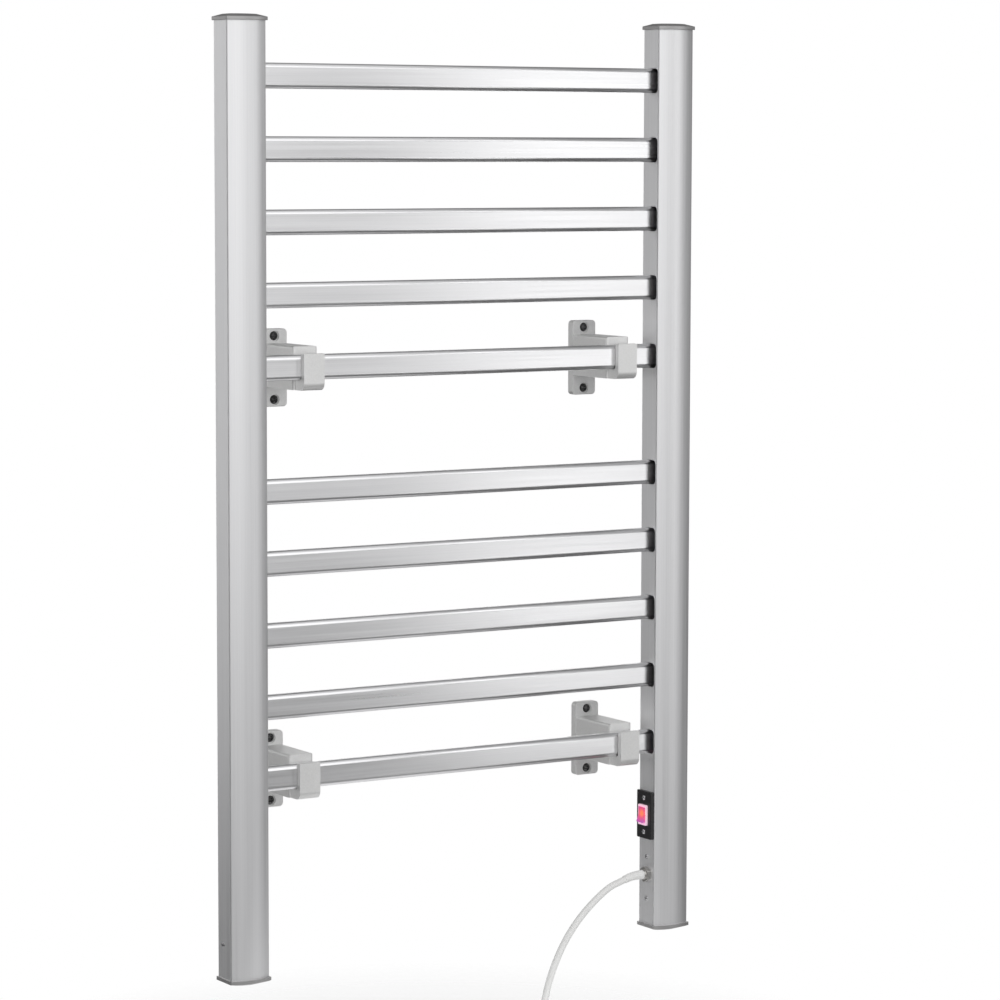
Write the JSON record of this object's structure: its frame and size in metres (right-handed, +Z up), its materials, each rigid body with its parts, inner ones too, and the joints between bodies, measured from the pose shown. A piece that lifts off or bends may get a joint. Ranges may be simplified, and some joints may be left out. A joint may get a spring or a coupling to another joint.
{
  "type": "towel warmer rack",
  "caption": "Wall-hung electric towel warmer: flat heated bars between two crowned posts, hooked onto moulded wall brackets, with a lit rocker switch and a mains lead.",
  "frame": {"origin": "middle of the four upper wall screws, on the wall face", "axes": "+X to the right seen from the room, +Y into the wall along the screws, +Z up along the posts"},
  "size_m": [0.5346, 0.1173, 1.06],
  "materials": {
    "brushed_aluminium": "fine brushed along the post, satin anodised",
    "bar_aluminium": "fine brushed along the bar, satin anodised",
    "cap_plastic": "moulded, fine spark texture",
    "bracket_plastic": "moulded, fine spark texture",
    "black_screws": "black, semi-gloss",
    "steel_screws": "zinc plated",
    "black_plastic": "moulded, fine texture",
    "switch_bezel": "translucent, lit from inside",
    "brass_tabs": "tinned brass",
    "rocker_lens": "translucent red, lit from inside",
    "lamp_glass": "lit neon lamp",
    "nickel_plate": "nickel plated, dulled",
    "steel_strap": "zinc plated strip",
    "silicone": "silicone rubber sleeve",
    "splice_nylon": "nylon crimp caps",
    "blue_wire": "PVC insulation",
    "brown_wire": "PVC insulation",
    "green_wire": "PVC insulation",
    "cutout_shell": "sleeved metal shell",
    "white_cord": "smooth PVC jacket",
    "black_tie": "hook and loop strip",
    "plug_plastic": "moulded PVC"
  },
  "bodies": {
    "wall_side": {"wall_bracket_upper_left": "bracket_plastic", "wall_bracket_upper_right": "bracket_plastic", "wall_bracket_lower_left": "bracket_plastic", "wall_bracket_lower_right": "bracket_plastic", "wall_screws_upper": "black_screws", "wall_screws_lower": "black_screws"},
    "rack": {"post_left": "brushed_aluminium", "post_right": "brushed_aluminium", "cap_top_left": "cap_plastic", "cap_top_right": "cap_plastic", "cap_bottom_left": "cap_plastic", "cap_bottom_right": "cap_plastic", "cap_screws": "steel_screws", "bar_lock_screws_left": "steel_screws", "bar_lock_screws_right": "steel_screws", "switch_plate": "black_plastic", "switch_plate_screws": "steel_screws", "switch_body": "switch_bezel", "switch_terminals": "brass_tabs", "cable_gland": "nickel_plate", "gland_locknut": "nickel_plate", "earth_strap": "steel_strap", "earth_strap_screws": "steel_screws", "earth_ring_terminal": "brass_tabs", "heating_cable": "silicone", "crimp_splices": "splice_nylon", "return_wire": "blue_wire", "heater_feed_wire": "brown_wire", "switch_feed_wire": "brown_wire", "thermal_cutout": "cutout_shell", "cord_inner_end": "white_cord", "live_core": "brown_wire", "neutral_core": "blue_wire", "earth_core": "green_wire", "cord_boot": "white_cord", "mains_cord": "white_cord", "mains_cord_coil": "white_cord", "mains_cord_tail": "white_cord", "cord_tie": "black_tie", "plug_body": "plug_plastic", "plug_prongs": "nickel_plate", "bar_01": "bar_aluminium", "bar_02": "bar_aluminium", "bar_03": "bar_aluminium", "bar_04": "bar_aluminium", "bar_05": "bar_aluminium", "bar_06": "bar_aluminium", "bar_07": "bar_aluminium", "bar_08": "bar_aluminium", "bar_09": "bar_aluminium", "bar_10": "bar_aluminium"},
    "rocker": {"rocker": "rocker_lens", "neon_lamp": "lamp_glass"}
  },
  "joints": [
    {"name": "rack_lift", "type": "slide", "parent": "wall_side", "child": "rack", "axis": [0, 0, 1], "range_m": [0, 0.026]},
    {"name": "rocker_tilt", "type": "hinge", "parent": "rack", "child": "rocker", "pos_m": [0.2098, -0.07885, -0.4693], "axis": [0, 1, 0], "range_deg": [-20, 0]}
  ]
}
